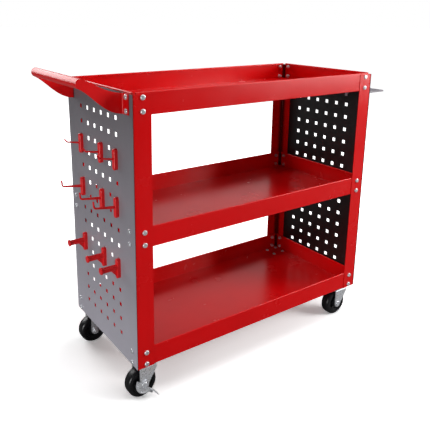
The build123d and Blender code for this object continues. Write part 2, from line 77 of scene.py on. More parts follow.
studioSetup = {
    "floorSize": 60.0,
    "floorColour": (1.45, 1.45, 1.45, 1),
    "floorBounce": (0.17, 0.165, 0.165, 1),     # what the floor gives back to the object
    "floorGlow": (0.20, 0.95),                # beside the object, and far from it
    "glowFrom": (0.62, 1.3),                  # metres from the middle
    "skyColour": (1.0, 1.0, 1.0, 1),
    "skyBehind": 1.0,                         # as seen past the object
    "skyAround": 0.07,                        # as it lights the object
    "softboxes": [
        # name, place, aimed at, size, watts
        ("keySoftbox", (2.0, -1.7, 1.15), (0.3, 0, 0.4), (1.3, 1.3), 56),
        ("topSoftbox", (0.4, -0.3, 2.9), (0.1, 0, 0.4), (2.6, 1.6), 42),
        ("backSoftbox", (1.9, 3.2, 1.8), (0.1, 0, 0.4), (3.2, 2.0), 13),
        ("leftSoftbox", (-2.4, -0.9, 0.28), (-0.4, 0, 0.2), (1.0, 0.7), 26),
        ("handleSoftbox", (-1.0, 3.2, 1.8), (-0.45, 0, 0.77), (2.8, 2.0), 80),
    ],
}


def addFloorPaper(setup):
    # Pale paper that keeps its shadow beside the object and runs out to white
    paper = bpy.data.materials.new("studioPaper")
    paper.use_nodes = True
    tree = paper.node_tree
    shader = tree.nodes["Principled BSDF"]
    shader.inputs["Roughness"].default_value = 0.8
    shader.inputs["Specular IOR Level"].default_value = 0.0
    coords = tree.nodes.new("ShaderNodeTexCoord")
    reach = tree.nodes.new("ShaderNodeVectorMath")
    reach.operation = "LENGTH"
    tree.links.new(coords.outputs["Object"], reach.inputs[0])
    spread = tree.nodes.new("ShaderNodeMapRange")
    spread.interpolation_type = "SMOOTHSTEP"
    low, high = setup["glowFrom"]
    for socket, value in (("From Min", low), ("From Max", high), ("To Min", setup["floorGlow"][0]),
                          ("To Max", setup["floorGlow"][1])):
        spread.inputs[socket].default_value = value
    tree.links.new(reach.outputs["Value"], spread.inputs["Value"])
    seen = tree.nodes.new("ShaderNodeLightPath").outputs["Is Camera Ray"]
    glow = tree.nodes.new("ShaderNodeMath")
    glow.operation = "MULTIPLY"
    tree.links.new(spread.outputs["Result"], glow.inputs[0])
    tree.links.new(seen, glow.inputs[1])
    tree.links.new(glow.outputs["Value"], shader.inputs["Emission Strength"])
    shader.inputs["Emission Color"].default_value = (1, 1, 1, 1)
    mix = tree.nodes.new("ShaderNodeMix")
    mix.data_type = "RGBA"
    tree.links.new(seen, mix.inputs[0])
    mix.inputs[6].default_value, mix.inputs[7].default_value = setup["floorBounce"], setup["floorColour"]
    tree.links.new(mix.outputs[2], shader.inputs["Base Color"])
    return paper


def addSky(setup):
    sky = bpy.data.worlds.new("studioSky")
    sky.use_nodes = True
    tree = sky.node_tree
    background = tree.nodes["Background"]
    background.inputs["Color"].default_value = setup["skyColour"]
    seen = tree.nodes.new("ShaderNodeLightPath").outputs["Is Camera Ray"]
    strength = tree.nodes.new("ShaderNodeMapRange")
    strength.inputs["To Min"].default_value = setup["skyAround"]
    strength.inputs["To Max"].default_value = setup["skyBehind"]
    tree.links.new(seen, strength.inputs["Value"])
    tree.links.new(strength.outputs["Result"], background.inputs["Strength"])
    bpy.context.scene.world = sky


def addStudio(setup):
    bpy.ops.mesh.primitive_plane_add(size=setup["floorSize"], location=(0, 0, 0))
    floor = bpy.context.object
    floor.name = "studioFloor"
    floor.data.materials.append(addFloorPaper(setup))
    for name, place, target, size, watts in setup["softboxes"]:
        aim = (Vector(target) - Vector(place)).to_track_quat("-Z", "Y").to_euler()
        bpy.ops.object.light_add(type="AREA", location=place, rotation=aim)
        light = bpy.context.object
        light.name = name
        light.data.shape = "RECTANGLE"
        light.data.size, light.data.size_y = size
        light.data.energy = watts
        light.visible_camera = False
    addSky(setup)
    bpy.context.scene.view_settings.view_transform = "Standard"


addCamera(cameraSetup)
addStudio(studioSetup)
print("camera and studio are up")


# ---- materials ----
def startMaterial(name):
    material = bpy.data.materials.new(name)
    material.use_nodes = True
    tree = material.node_tree
    coords = tree.nodes.new("ShaderNodeTexCoord")
    return material, tree, tree.nodes["Principled BSDF"], coords.outputs


def addNoise(tree, vector, scale, detail=4.0, roughness=0.5, stretch=(1, 1, 1)):
    mapping = tree.nodes.new("ShaderNodeMapping")
    mapping.inputs["Scale"].default_value = stretch
    noise = tree.nodes.new("ShaderNodeTexNoise")
    noise.inputs["Scale"].default_value = scale
    noise.inputs["Detail"].default_value = detail
    noise.inputs["Roughness"].default_value = roughness
    tree.links.new(vector, mapping.inputs["Vector"])
    tree.links.new(mapping.outputs["Vector"], noise.inputs["Vector"])
    return noise.outputs["Fac"]


def addRamp(tree, factor, stops):
    ramp = tree.nodes.new("ShaderNodeValToRGB")
    ramp.color_ramp.elements[0].position, ramp.color_ramp.elements[0].color = stops[0]
    ramp.color_ramp.elements[1].position, ramp.color_ramp.elements[1].color = stops[-1]
    for position, colour in stops[1:-1]:
        ramp.color_ramp.elements.new(position).color = colour
    tree.links.new(factor, ramp.inputs["Fac"])
    return ramp.outputs["Color"]


def addRange(tree, factor, low, high, outLow, outHigh):
    spread = tree.nodes.new("ShaderNodeMapRange")
    for socket, value in (("From Min", low), ("From Max", high), ("To Min", outLow), ("To Max", outHigh)):
        spread.inputs[socket].default_value = value
    tree.links.new(factor, spread.inputs["Value"])
    return spread.outputs["Result"]


def addMix(tree, factor, first, second, blend="MIX"):
    mix = tree.nodes.new("ShaderNodeMix")
    mix.data_type = "RGBA"
    mix.blend_type = blend
    for socket, value in (("Factor", factor), ("A", first), ("B", second)):
        kind = "VALUE" if socket == "Factor" else "RGBA"
        target = [entry for entry in mix.inputs if entry.name == socket and entry.type == kind][0]
        if isinstance(value, (float, int, tuple)):
            target.default_value = value
        else:
            tree.links.new(value, target)
    return [s for s in mix.outputs if s.type == "RGBA"][0]


def addMath(tree, operation, first, second=0.0):
    node = tree.nodes.new("ShaderNodeMath")
    node.operation = operation
    for socket, value in zip(node.inputs, (first, second)):
        if isinstance(value, (float, int)):
            socket.default_value = value
        else:
            tree.links.new(value, socket)
    return node.outputs["Value"]


def addBump(tree, shader, height, strength, distance, before=None):
    bump = tree.nodes.new("ShaderNodeBump")
    bump.inputs["Strength"].default_value = strength
    bump.inputs["Distance"].default_value = distance
    tree.links.new(height, bump.inputs["Height"])
    if before:
        tree.links.new(before, bump.inputs["Normal"])
    tree.links.new(bump.outputs["Normal"], shader.inputs["Normal"])
    return bump.outputs["Normal"]


redSetup = {
    "deep": (0.70, 0.0009, 0.0020, 1),
    "fresh": (0.78, 0.0016, 0.0034, 1),
    "rubbed": (0.70, 0.004, 0.006, 1),
    "peelScale": 520.0,      # orange peel of the powder coat, per metre
    "peelDepth": 0.00005,
}


def innerCornerShade(tree, coords, setup):
    # 1 on the inward faces beside the bend of a post, 0 elsewhere: the mask for the painted shade in the
    # post's inner corner
    placeParts = tree.nodes.new("ShaderNodeSeparateXYZ")
    normalParts = tree.nodes.new("ShaderNodeSeparateXYZ")
    tree.links.new(coords["Object"], placeParts.inputs[0])
    tree.links.new(coords["Normal"], normalParts.inputs[0])
    lengthwise = addMath(tree, "SUBTRACT", placeParts.outputs["X"], setup["middle"])
    masks = []
    for distance, end in ((lengthwise, setup["endFace"]), (placeParts.outputs["Y"], setup["sideFace"])):
        reach = addMath(tree, "ABSOLUTE", distance)
        masks.append(addRange(tree, reach, end - setup["fadeTo"], end - setup["fadeFrom"], 0.0, 1.0))
    outward = addMath(tree, "ADD", addMath(tree, "MULTIPLY", lengthwise, normalParts.outputs["X"]),
                      addMath(tree, "MULTIPLY", placeParts.outputs["Y"], normalParts.outputs["Y"]))
    masks.append(addRange(tree, outward, -0.02, 0.0, 1.0, 0.0))
    return addMath(tree, "MULTIPLY", addMath(tree, "MULTIPLY", masks[0], masks[1]), masks[2])


def makeRedEnamel(name, setup, gloss=0.24, peel=0.30, corner=None):
    material, tree, shader, coords = startMaterial(name)
    place = coords["Object"]
    clouds = addNoise(tree, place, 6.0, 3.0)
    tone = addRamp(tree, clouds, [(0.3, setup["deep"]), (0.7, setup["fresh"])])
    rubs = addNoise(tree, place, 90.0, 5.0, 0.6, (0.12, 0.5, 1.0))
    rubMask = addRange(tree, rubs, 0.70, 0.84, 0.0, 0.15)
    tone = addMix(tree, rubMask, tone, setup["rubbed"])
    if corner:
        # painted shade darkens the inward faces beside a post's bend
        tone = addMix(tree, innerCornerShade(tree, coords, corner), tone, corner["tone"])
    tree.links.new(tone, shader.inputs["Base Color"])
    scuffs = addNoise(tree, place, 14.0, 5.0, 0.55)
    tree.links.new(addRange(tree, scuffs, 0.3, 0.75, gloss - 0.02, gloss + 0.05), shader.inputs["Roughness"])
    shader.inputs["Specular IOR Level"].default_value = 0.36
    grain = addNoise(tree, place, setup["peelScale"], 2.0, 0.5)
    waves = addNoise(tree, place, 16.0, 1.0, 0.4)
    sheetWave = addBump(tree, shader, waves, 0.05, 0.0006)
    addBump(tree, shader, grain, peel, setup["peelDepth"], sheetWave)
    return material


# painted shade: the inward faces beside each post's bend are darkened where shade falls in the inner corner
postCornerShade = {
    "tone": (0.11, 0.0009, 0.0016, 1),
    "fadeFrom": 0.008,
    "fadeTo": 0.018,
}

panelSetup = {
    "outerLowPaintedLight": (0.50, 0.485, 0.55, 1),
    "outerHighPaintedShade": (0.14, 0.132, 0.146, 1),
    "inner": (0.0045, 0.0042, 0.0045, 1),
    "peelScale": 800.0,
}


def makePanelPaint(setup):
    # Grey on the face that looks outwards, black on the face that looks into the cart; the outer grey carries
    # painted light, lighter at the foot and darker towards the top
    material, tree, shader, coords = startMaterial("panelPaint")
    place, normal = coords["Object"], coords["Normal"]
    placeParts = tree.nodes.new("ShaderNodeSeparateXYZ")
    normalParts = tree.nodes.new("ShaderNodeSeparateXYZ")
    tree.links.new(place, placeParts.inputs[0])
    tree.links.new(normal, normalParts.inputs[0])
    facing = addMath(tree, "MULTIPLY", placeParts.outputs["X"], normalParts.outputs["X"])
    outward = addRange(tree, facing, 0.0, 0.05, 0.0, 1.0)
    # painted light and shade: the outer grey is lighter at the foot and darker towards the top
    height = addRange(tree, placeParts.outputs["Z"], 0.1, 0.75, 0.0, 1.0)
    outer = addMix(tree, height, setup["outerLowPaintedLight"], setup["outerHighPaintedShade"])
    clouds = addNoise(tree, place, 7.0, 4.0)
    shade = addRange(tree, clouds, 0.3, 0.7, 0.94, 1.05)
    shaded = addMix(tree, 1.0, outer, (1.0, 1.0, 1.0, 1), "MULTIPLY")
    tree.links.new(shade, [s for s in shaded.node.inputs if s.name == "B" and s.type == "RGBA"][0])
    tree.links.new(addMix(tree, outward, setup["inner"], shaded), shader.inputs["Base Color"])
    shader.inputs["Metallic"].default_value = 0.0
    shader.inputs["IOR"].default_value = 1.5
    scuffs = addNoise(tree, place, 60.0, 5.0, 0.6)
    tree.links.new(addRange(tree, scuffs, 0.3, 0.75, 0.30, 0.44), shader.inputs["Roughness"])
    grain = addNoise(tree, place, setup["peelScale"], 2.0, 0.5)
    addBump(tree, shader, grain, 0.35, 0.00005)
    return material


def makeRackPaint():
    material, tree, shader, coords = startMaterial("rackPaint")
    place = coords["Object"]
    clouds = addNoise(tree, place, 18.0, 4.0)
    tree.links.new(addRamp(tree, clouds, [(0.3, (0.24, 0.22, 0.25, 1)), (0.7, (0.33, 0.31, 0.34, 1))]),
                   shader.inputs["Base Color"])
    scuffs = addNoise(tree, place, 70.0, 5.0, 0.6)
    tree.links.new(addRange(tree, scuffs, 0.3, 0.75, 0.28, 0.42), shader.inputs["Roughness"])
    grain = addNoise(tree, place, 800.0, 2.0, 0.5)
    addBump(tree, shader, grain, 0.35, 0.00005)
    return material


zincSetup = {
    "bright": (0.88, 0.90, 0.93, 1),
    "dim": (0.80, 0.83, 0.88, 1),
    "warm": (0.78, 0.74, 0.62, 1),
}


def makeZincPlate(name, setup, low=0.22, high=0.40):
    material, tree, shader, coords = startMaterial(name)
    place = coords["Object"]
    spangle = addNoise(tree, place, 70.0, 3.0, 0.5)
    tone = addRamp(tree, spangle, [(0.3, setup["dim"]), (0.65, setup["bright"])])
    tint = addNoise(tree, place, 45.0, 2.0)
    tintMask = addRange(tree, tint, 0.52, 0.75, 0.0, 0.35)
    tree.links.new(addMix(tree, tintMask, tone, setup["warm"]), shader.inputs["Base Color"])
    shader.inputs["Metallic"].default_value = 0.55
    scuffs = addNoise(tree, place, 220.0, 4.0, 0.6)
    tree.links.new(addRange(tree, scuffs, 0.3, 0.7, low, high), shader.inputs["Roughness"])
    grain = addNoise(tree, place, 1400.0, 2.0, 0.5)
    addBump(tree, shader, grain, 0.10, 0.00003)
    return material


def makeHookPlastic():
    material, tree, shader, coords = startMaterial("hookPlastic")
    place = coords["Object"]
    clouds = addNoise(tree, place, 60.0, 3.0)
    tree.links.new(addRamp(tree, clouds, [(0.3, (0.82, 0.008, 0.012, 1)), (0.7, (0.94, 0.012, 0.016, 1))]),
                   shader.inputs["Base Color"])
    scuffs = addNoise(tree, place, 300.0, 4.0, 0.6)
    tree.links.new(addRange(tree, scuffs, 0.3, 0.7, 0.26, 0.38), shader.inputs["Roughness"])
    shader.inputs["Subsurface Weight"].default_value = 0.05
    shader.inputs["Subsurface Radius"].default_value = (0.003, 0.001, 0.001)
    grain = addNoise(tree, place, 1500.0, 2.0, 0.5)
    addBump(tree, shader, grain, 0.15, 0.00003)
    return material


def makeRubber(name, tone, low, high):
    material, tree, shader, coords = startMaterial(name)
    place = coords["Object"]
    clouds = addNoise(tree, place, 35.0, 5.0, 0.6)
    pale = tuple(1.9 * c + 0.004 for c in tone[:3]) + (1,)
    tree.links.new(addRamp(tree, clouds, [(0.4, tone), (0.78, pale)]), shader.inputs["Base Color"])
    scuffs = addNoise(tree, place, 160.0, 5.0, 0.65)
    tree.links.new(addRange(tree, scuffs, 0.3, 0.7, low, high), shader.inputs["Roughness"])
    grain = addNoise(tree, place, 900.0, 3.0, 0.6)
    addBump(tree, shader, grain, 0.3, 0.00006)
    return material


postLow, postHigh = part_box("post_front_left")
farLow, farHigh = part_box("post_rear_right")
postCornerShade.update(middle=(postLow.x + farHigh.x) / 2, endFace=(farHigh.x - postLow.x) / 2, sideFace=farHigh.y)
redEnamel = makeRedEnamel("redEnamel", redSetup)
postEnamelCornerShade = makeRedEnamel("postEnamelCornerShade", redSetup, corner=postCornerShade)
handleEnamel = makeRedEnamel("handleEnamel", redSetup, 0.34, 0.02)
panelPaint = makePanelPaint(panelSetup)
rackPaint = makeRackPaint()
zincPlate = makeZincPlate("zincPlate", zincSetup)
boltZinc = makeZincPlate("boltZinc", zincSetup, 0.16, 0.3)
hookPlastic = makeHookPlastic()
tyreRubber = makeRubber("tyreRubber", (0.006, 0.006, 0.007, 1), 0.24, 0.38)
hubPlastic = makeRubber("hubPlastic", (0.012, 0.012, 0.014, 1), 0.30, 0.42)
padRubber = makeRubber("padRubber", (0.03, 0.028, 0.026, 1), 0.7, 0.85)
print("materials are mixed")


def paint(piece, material):
    piece.data.materials.clear()
    piece.data.materials.append(material)


def nodeMaterial(name):
    if name.startswith("peg_panel"):
        return panelPaint
    if name == "tool_rack":
        return rackPaint
    if name.startswith("handle"):
        return handleEnamel
    if "tray" in name or name.startswith("post"):
        return redEnamel
    if "hook" in name or name.startswith("thick_peg"):
        return hookPlastic
    if name.startswith("tyre"):
        return tyreRubber
    if name.startswith("wheel_hub"):
        return hubPlastic
    if name.startswith("brake_pad"):
        return padRubber
    if name.startswith(("frame_bolts", "frame_nuts", "axle")):
        return boltZinc
    return zincPlate


for nodeName, node in nodes.items():
    paint(node, nodeMaterial(nodeName))
print("frame nodes are painted")

# ---- tools for modelling ----
tiny = 0.00002


def selectParts(kind, test):
    # Picks the open piece's VERT, EDGE or FACE parts whose middle passes the test
    bpy.ops.mesh.select_mode(type=kind)
    bpy.ops.mesh.select_all(action="DESELECT")
    piece = bpy.context.edit_object
    shape = bmesh.from_edit_mesh(piece.data)
    for part in {"VERT": shape.verts, "EDGE": shape.edges, "FACE": shape.faces}[kind]:
        if kind == "VERT":
            place = part.co
        elif kind == "EDGE":
            place = (part.verts[0].co + part.verts[1].co) / 2
        else:
            place = part.calc_center_median()
        part.select_set(bool(test(place, part)))
    shape.select_flush_mode()
    bmesh.update_edit_mesh(piece.data)


def selectionMiddle():
    shape = bmesh.from_edit_mesh(bpy.context.edit_object.data)
    places = [vert.co for vert in shape.verts if vert.select]
    return sum(places, Vector()) / len(places)


def openPiece():
    # Fixes the new primitive's place into its mesh, and opens it for editing
    bpy.ops.object.transform_apply(location=True, rotation=True, scale=True)
    bpy.ops.object.mode_set(mode="EDIT")
    return bpy.context.edit_object


def addPlane(middle, size, turn=(0, 0, 0)):
    bpy.ops.object.select_all(action="DESELECT")
    bpy.ops.mesh.primitive_plane_add(size=1, location=middle, rotation=turn)
    bpy.context.object.scale = (size[0], size[1], 1)
    return openPiece()


def addRound(middle, radius, depth, sides, turn=(0, 0, 0)):
    bpy.ops.object.select_all(action="DESELECT")
    bpy.ops.mesh.primitive_cylinder_add(vertices=sides, radius=radius, depth=depth,
                                        location=middle, rotation=turn)
    return openPiece()


def pull(step):
    bpy.ops.mesh.extrude_region_move(TRANSFORM_OT_translate={"value": step})


def cutAcross(axis, place):
    line = Vector((0, 0, 0))
    line[axis] = 1
    bpy.ops.mesh.select_all(action="SELECT")
    bpy.ops.mesh.bisect(plane_co=line * place, plane_no=line)


def resize(x, y, z, centre):
    bpy.ops.transform.resize(value=(x, y, z), center_override=centre)


def faceOutward(test, outward):
    # Makes the open sheet's faces agree, with the tested face looking outward
    bpy.ops.mesh.select_all(action="SELECT")
    bpy.ops.mesh.remove_doubles(threshold=tiny)
    bpy.ops.mesh.normals_make_consistent(inside=False)
    shape = bmesh.from_edit_mesh(bpy.context.edit_object.data)
    face = [face for face in shape.faces if test(face.calc_center_median())][0]
    if face.normal.dot(Vector(outward)) < 0:
        bpy.ops.mesh.select_all(action="SELECT")
        bpy.ops.mesh.flip_normals()


def closeNormals():
    bpy.ops.mesh.select_all(action="SELECT")
    bpy.ops.mesh.remove_doubles(threshold=tiny)
    bpy.ops.mesh.normals_make_consistent(inside=False)


def modify(kind, **values):
    # Adds one modifier to the active piece and applies it
    if bpy.context.object.mode != "OBJECT":
        bpy.ops.object.mode_set(mode="OBJECT")
    bpy.ops.object.modifier_add(type=kind)
    modifier = bpy.context.object.modifiers[-1]
    for key, value in values.items():
        setattr(modifier, key, value)
    bpy.ops.object.modifier_apply(modifier=modifier.name)


def roundEdges(width, segments, angle=30):
    modify("BEVEL", width=width, segments=segments, limit_method="ANGLE", angle_limit=math.radians(angle),
           use_clamp_overlap=True, miter_outer="MITER_SHARP")


def thicken(sheet):
    modify("SOLIDIFY", thickness=sheet, offset=-1, use_even_offset=True)


def finishPiece(name, body, replaced, material, smooth=32):
    if bpy.context.object.mode != "OBJECT":
        bpy.ops.object.mode_set(mode="OBJECT")
    piece = bpy.context.object
    piece.name = name
    bpy.ops.object.shade_smooth_by_angle(angle=math.radians(smooth))
    modify("WEIGHTED_NORMAL", keep_sharp=True)
    paint(piece, material)
    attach(piece, body)
    if replaced:
        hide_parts(*replaced)
    return piece


def bodyOf(nodeName):
    bodies = frame["record"]["behaviour"]["bodies"]
    return [body for body, members in bodies.items() if nodeName in members][0]


# ---- trays ----
traySetup = {
    "sheet": 0.001,
    "hemWidth": 0.0045,
    "hemDrop": 0.005,
    "relief": 0.008,         # the open corner of each wall
    "bend": 0.0019,
    "edge": 0.0003,
}


def makeTray(nodeName, setup):
    low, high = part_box(nodeName)
    middle = (low + high) / 2
    addPlane((middle.x, middle.y, low.z), (high.x - low.x, high.y - low.y))
    for axis in (0, 1):
        cutAcross(axis, low[axis] + setup["relief"])
        cutAcross(axis, high[axis] - setup["relief"])
    for axis in (0, 1):
        other = 1 - axis
        for side, edge in ((-1, low[axis]), (1, high[axis])):
            inward = [0, 0, 0]
            inward[axis] = -side * setup["hemWidth"]
            selectParts("EDGE", lambda place, part: abs(place[axis] - edge) < tiny
                        and low[other] + setup["relief"] < place[other] < high[other] - setup["relief"])
            pull((0, 0, high.z - low.z))
            pull(inward)
            pull((0, 0, -setup["hemDrop"]))
    faceOutward(lambda place: place.z < low.z + tiny, (0, 0, -1))
    roundEdges(setup["bend"], 4)
    thicken(setup["sheet"])
    roundEdges(setup["edge"], 1, 60)
    return finishPiece(nodeName + "_sheet", bodyOf(nodeName), [nodeName], redEnamel)


for level in ("bottom_tray", "middle_tray", "top_tray"):
    makeTray(level, traySetup)
print("trays are folded")

# ---- posts ----
postSetup = {
    "sheet": 0.0015,
    "bend": 0.0030,
    "edge": 0.0004,
}


def makePost(nodeName, setup):
    low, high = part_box(nodeName)
    side = 1 if low.x > 0 else -1
    face = 1 if low.y > 0 else -1
    corner = Vector((high.x if side > 0 else low.x, high.y if face > 0 else low.y, low.z))
    far = Vector((low.x if side > 0 else high.x, low.y if face > 0 else high.y, high.z))
    middle = ((low.x + high.x) / 2, corner.y, (low.z + high.z) / 2)
    addPlane(middle, (high.x - low.x, high.z - low.z), (math.pi / 2, 0, 0))
    selectParts("EDGE", lambda place, part: abs(place.x - corner.x) < tiny)
    pull((0, far.y - corner.y, 0))
    selectParts("EDGE", lambda place, part: abs(place.x - corner.x) < tiny and abs(place.y - corner.y) < tiny)
    bpy.ops.mesh.bevel(offset=setup["bend"], segments=5)
    faceOutward(lambda place: abs(place.y - corner.y) < tiny, (0, face, 0))
    thicken(setup["sheet"])
    roundEdges(setup["edge"], 2, 60)
    return finishPiece(nodeName + "_angle", bodyOf(nodeName), [nodeName], postEnamelCornerShade)


for nodeName in [name for name in nodes if name.startswith("post_")]:
    makePost(nodeName, postSetup)
print("posts are bent")

# ---- peg panels ----
panelShape = {
    "sheet": 0.001,
    "edge": 0.0004,
    "holePitch": 0.038,
    "holeSide": 0.010,
    "columns": 6,
    "rows": 15,
    "topRow": 0.592,         # above the foot of the panel
}


def makePanel(nodeName, setup):
    low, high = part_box(nodeName)
    side = 1 if low.x > 0 else -1
    outer = high.x if side > 0 else low.x
    columns = [(place - (setup["columns"] - 1) / 2) * setup["holePitch"] for place in range(setup["columns"])]
    rows = [low.z + setup["topRow"] - place * setup["holePitch"] for place in range(setup["rows"])]
    half = setup["holeSide"] / 2
    addPlane((outer, 0, (low.z + high.z) / 2), (high.z - low.z, high.y - low.y), (0, math.pi / 2, 0))
    for axis, middles in ((1, columns), (2, rows)):
        for middle in middles:
            cutAcross(axis, middle - half)
            cutAcross(axis, middle + half)
    selectParts("FACE", lambda place, part: any(abs(place.y - y) < half for y in columns)
                and any(abs(place.z - z) < half for z in rows))
    bpy.ops.mesh.delete(type="FACE")
    faceOutward(lambda place: True, (side, 0, 0))
    thicken(setup["sheet"])
    roundEdges(setup["edge"], 2, 60)
    return finishPiece(nodeName + "_sheet", bodyOf(nodeName), [nodeName], panelPaint)


for nodeName in ("peg_panel_left", "peg_panel_right"):
    makePanel(nodeName, panelShape)
print("panels are punched")

# ---- handle ----
handleSetup = {
    "sides": 64,
    "weldWidth": 0.0022,
    "weldRise": 1.10,
    "plate": 0.002,
    "bend": 0.004,
    "edge": 0.0005,
    "smooth": 24,
    "lean": 25,              # degrees that the bracket's outline falls away from the grip
}


def makeGrip(setup):
    low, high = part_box("handle_grip")
    middle = (low + high) / 2
    radius = (high.z - low.z) / 2
    addRound(middle, radius / setup["weldRise"] ** 0.5, high.y - low.y, setup["sides"], (math.pi / 2, 0, 0))
    for end in (low.y + setup["weldWidth"], high.y - setup["weldWidth"]):
        cutAcross(1, end)
    # The tube between the welds is full size, and a small bead runs round each end
    for end in (low.y + 2 * setup["weldWidth"], high.y - 2 * setup["weldWidth"]):
        cutAcross(1, end)
    full = setup["weldRise"] ** 0.5
    inset = 1.5 * setup["weldWidth"]
    selectParts("VERT", lambda place, part: low.y + inset < place.y < high.y - inset)
    resize(full, 1, full, middle)
    selectParts("VERT", lambda place, part: min(place.y - low.y, high.y - place.y) < tiny)
    resize(full, 1, full, middle)
    closeNormals()
    return finishPiece("handle_grip_tube", bodyOf("handle_grip"), ["handle_grip"], handleEnamel)


def makeBracket(nodeName, setup):
    low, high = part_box(nodeName)
    gripLow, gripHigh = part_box("handle_grip")
    grip = (gripLow + gripHigh) / 2
    radius = (gripHigh.z - gripLow.z) / 2
    face = 1 if low.y > 0 else -1
    plateY = gripHigh.y if face > 0 else gripLow.y
    grip.y = plateY
    tabEnd = high.y if face > 0 else low.y
    lean = math.radians(setup["lean"])
    rim = Vector((math.sin(lean), 0, math.cos(lean))) * radius
    slope = Vector((math.cos(lean), 0, -math.sin(lean)))
    arc = 0.5523 * radius
    panelTop = Vector((high.x, plateY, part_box("peg_panel_left")[1].z))
    panelFoot = Vector((high.x, plateY, low.z))
    level = Vector((1, 0, 0))
    reach = high.x - grip.x
    under, swing = grip - slope * radius, rim.normalized() * arc
    points = [
        # place, arriving handle, leaving handle
        (grip + rim, grip + rim - slope * arc, grip + rim + slope * reach * 0.34),
        (panelTop, panelTop - level * reach * 0.34, panelTop),
        (panelFoot, panelFoot, panelFoot - level * reach * 0.46),
        (grip - rim, grip - rim + slope * reach * 0.33, grip - rim - slope * arc),
        (under, under - swing, under + swing),
    ]
    bpy.ops.object.select_all(action="DESELECT")
    bpy.ops.curve.primitive_bezier_curve_add()
    line = bpy.context.object.data
    spline = line.splines[0]
    spline.bezier_points.add(len(points) - len(spline.bezier_points))
    spline.use_cyclic_u = True
    line.resolution_u = setup["smooth"]
    for point, (place, arriving, leaving) in zip(spline.bezier_points, points):
        point.handle_left_type = point.handle_right_type = "FREE"
        point.co, point.handle_left, point.handle_right = place, arriving, leaving
    bpy.ops.object.convert(target="MESH")
    bpy.context.object.location = (0, 0, 0)
    openPiece()
    bpy.ops.mesh.select_all(action="SELECT")
    bpy.ops.mesh.remove_doubles(threshold=tiny)
    bpy.ops.mesh.edge_face_add()
    selectParts("EDGE", lambda place, part: all(abs(vert.co.x - high.x) < tiny for vert in part.verts))
    pull((0, tabEnd - plateY, 0))
    selectParts("EDGE", lambda place, part: abs(place.y - plateY) < tiny
                and all(abs(vert.co.x - high.x) < tiny for vert in part.verts))
    bpy.ops.mesh.bevel(offset=setup["bend"], segments=5)
    faceOutward(lambda place: abs(place.y - plateY) < tiny, (0, -face, 0))
    thicken(setup["plate"])
    roundEdges(setup["edge"], 2, 50)
    return finishPiece(nodeName + "_plate", bodyOf(nodeName), [nodeName], handleEnamel)


makeGrip(handleSetup)
makeBracket("handle_bracket_front", handleSetup)
makeBracket("handle_bracket_rear", handleSetup)
print("handle is bent and welded")

# ---- hooks ----
padSetup = {
    "height": 0.050,
    "width": 0.013,
    "depth": 0.009,
    "corner": 0.0063,
    "edge": 0.0026,
    "lug": 0.009,
    "lugLength": 0.004,
    "lugPitch": 0.038,
}
shortHookSetup = {"root": 0.0052, "end": 0.0040, "rise": 9.5, "tipTurn": 44, "bend": 0.0045, "tip": 0.0075}
longHookSetup = {"root": 0.0080, "end": 0.0046, "rise": 7.5, "tipTurn": 77, "bend": 0.0060, "tip": 0.0110}
pegSetup = {
    "radius": 0.0070,
    "flutes": 8,
    "fluteDepth": 0.82,
    "lift": 0.004,
    "capRadius": 0.0087,
    "capDepth": 0.004,
    "web": 0.005,
}


def makeHookPad(nodeName, setup):
    # The pad against the panel, with a lug for each of its two holes
    low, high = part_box(nodeName)
    faceX = high.x - setup["lugLength"]
    middle = Vector((faceX - setup["depth"] / 2, (low.y + high.y) / 2, low.z + setup["height"] / 2))
    bpy.ops.object.select_all(action="DESELECT")
    bpy.ops.mesh.primitive_cube_add(size=1, location=middle)
    bpy.context.object.scale = (setup["depth"], setup["width"], setup["height"])
    openPiece()
    selectParts("EDGE", lambda place, part: abs(part.verts[0].co.x - part.verts[1].co.x) > setup["depth"] / 2)
    bpy.ops.mesh.bevel(offset=setup["corner"], segments=9)
    front = faceX - setup["depth"]
    selectParts("EDGE", lambda place, part: all(abs(vert.co.x - front) < tiny for vert in part.verts))
    bpy.ops.mesh.bevel(offset=setup["edge"], segments=5)
    for side in (-1, 1):
        bpy.ops.mesh.primitive_cube_add(size=setup["lug"], location=(faceX + setup["lugLength"] / 2, middle.y,
                                                                     middle.z + side * setup["lugPitch"] / 2))
        lugMiddle = selectionMiddle()
        resize(setup["lugLength"] / setup["lug"], 1, 1, lugMiddle)
    return middle, front


def makeRodHook(nodeName, setup):
    low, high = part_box(nodeName)
    middle, front = makeHookPad(nodeName, padSetup)
    rise, turn = math.radians(setup["rise"]), math.radians(setup["tipTurn"])
    along = Vector((-math.cos(rise), 0, math.sin(rise)))
    across = Vector((math.sin(rise), 0, math.cos(rise)))
    start = Vector((front + 0.003, middle.y, middle.z + 0.001))
    bpy.ops.mesh.primitive_circle_add(vertices=24, radius=setup["root"] / 2, fill_type="NGON", location=start,
                                      rotation=along.to_track_quat("Z", "Y").to_euler())
    tipEnd = setup["tip"] * math.cos(math.pi / 2 - rise - turn) + setup["bend"] * math.sin(turn)
    reach = (start.x - low.x - tipEnd - setup["end"] / 2) / math.cos(rise)
    steps = 8
    ratio = (setup["end"] / setup["root"]) ** (1 / steps)
    for step in range(steps):
        pull(along * reach / steps)
        resize(ratio, ratio, ratio, selectionMiddle())
    centre = selectionMiddle() + across * setup["bend"]
    bpy.ops.mesh.spin(steps=7, angle=turn, center=centre, axis=(0, -1, 0))
    upward = Vector((-math.cos(rise + turn), 0, math.sin(rise + turn)))
    for length, shrink in ((setup["tip"], 0.9), (0.0006, 0.86), (0.0005, 0.7), (0.0003, 0.5)):
        pull(upward * length)
        resize(shrink, shrink, shrink, selectionMiddle())
    closeNormals()
    return finishPiece(nodeName + "_moulding", bodyOf(nodeName), [nodeName], hookPlastic, 40)


